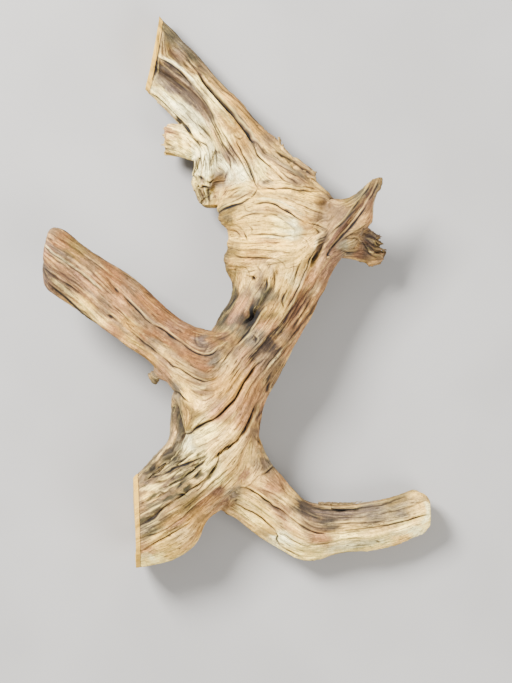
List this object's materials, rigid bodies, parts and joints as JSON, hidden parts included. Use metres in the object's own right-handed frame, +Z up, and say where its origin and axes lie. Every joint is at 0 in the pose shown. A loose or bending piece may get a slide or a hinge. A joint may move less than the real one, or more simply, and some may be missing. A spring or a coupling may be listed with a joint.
{
  "type": "driftwood",
  "caption": "Weathered forked piece of driftwood with a twisted trunk, broken stubs and sawn ends, lying flat.",
  "frame": {"origin": "on the surface it lies on, under the middle of its bounding box", "axes": "+Z up, away from the surface it lies on; +Y along its long side towards the sawn upper limb; +X towards the lower right branch"},
  "size_m": [0.4214, 0.604, 0.1151],
  "materials": {
    "weathered_wood": "bare, weathered, cracked along the grain, dull"
  },
  "bodies": {
    "root": {"driftwood": "weathered_wood"}
  },
  "joints": []
}
